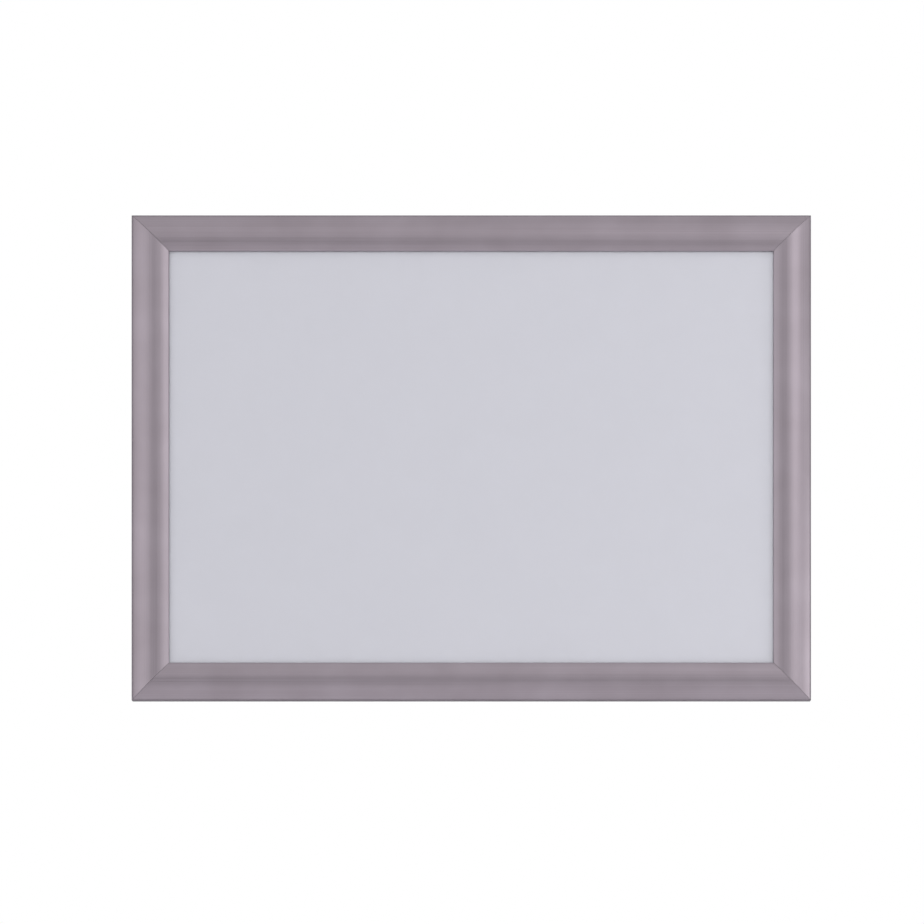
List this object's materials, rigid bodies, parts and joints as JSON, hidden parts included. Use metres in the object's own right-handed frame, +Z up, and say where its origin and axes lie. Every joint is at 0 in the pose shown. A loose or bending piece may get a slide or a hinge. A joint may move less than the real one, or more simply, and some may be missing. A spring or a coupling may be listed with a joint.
{
  "type": "snap-open clip frame",
  "caption": "Landscape wall frame of slim bowed aluminium rails with mitred corners. Each front rail hinges open on its outer edge, so the sheet behind the clear cover can be changed.",
  "frame": {"origin": "centre of the four wall screw holes, on the back plane that lies against the wall", "axes": "+Z up, +X to the right as seen from the front, front faces -Y"},
  "size_m": [0.45, 0.0122, 0.327],
  "materials": {
    "front_rail": "satin anodised",
    "back_rail": "mill finish",
    "corner_key": "moulded",
    "spring": "rolled",
    "back_panel": "smooth matt",
    "cover_sheet": "fine matt"
  },
  "bodies": {
    "root": {"base_top": "back_rail", "base_bottom": "back_rail", "base_left": "back_rail", "base_right": "back_rail", "corner_key_1": "corner_key", "corner_key_2": "corner_key", "corner_key_3": "corner_key", "corner_key_4": "corner_key", "spring_top_1": "spring", "spring_top_2": "spring", "spring_bottom_1": "spring", "spring_bottom_2": "spring", "spring_left_1": "spring", "spring_left_2": "spring", "spring_right_1": "spring", "spring_right_2": "spring", "back_panel": "back_panel", "cover_sheet": "cover_sheet"},
    "front_rail_top": {"cover_top": "front_rail"},
    "front_rail_bottom": {"cover_bottom": "front_rail"},
    "front_rail_left": {"cover_left": "front_rail"},
    "front_rail_right": {"cover_right": "front_rail"}
  },
  "joints": [
    {"name": "open_top", "type": "hinge", "parent": "root", "child": "front_rail_top", "pos_m": [0, -0.0037, 0.1614], "axis": [-1, 0, 0], "range_deg": [0, 95], "deforming": ["spring_top_1", "spring_top_2"]},
    {"name": "open_bottom", "type": "hinge", "parent": "root", "child": "front_rail_bottom", "pos_m": [0, -0.0037, -0.1614], "axis": [1, 0, 0], "range_deg": [0, 95], "deforming": ["spring_bottom_1", "spring_bottom_2"]},
    {"name": "open_left", "type": "hinge", "parent": "root", "child": "front_rail_left", "pos_m": [-0.2229, -0.0037, 0], "axis": [0, 0, -1], "range_deg": [0, 95], "deforming": ["spring_left_1", "spring_left_2"]},
    {"name": "open_right", "type": "hinge", "parent": "root", "child": "front_rail_right", "pos_m": [0.2229, -0.0037, 0], "axis": [0, 0, 1], "range_deg": [0, 95], "deforming": ["spring_right_1", "spring_right_2"]}
  ]
}
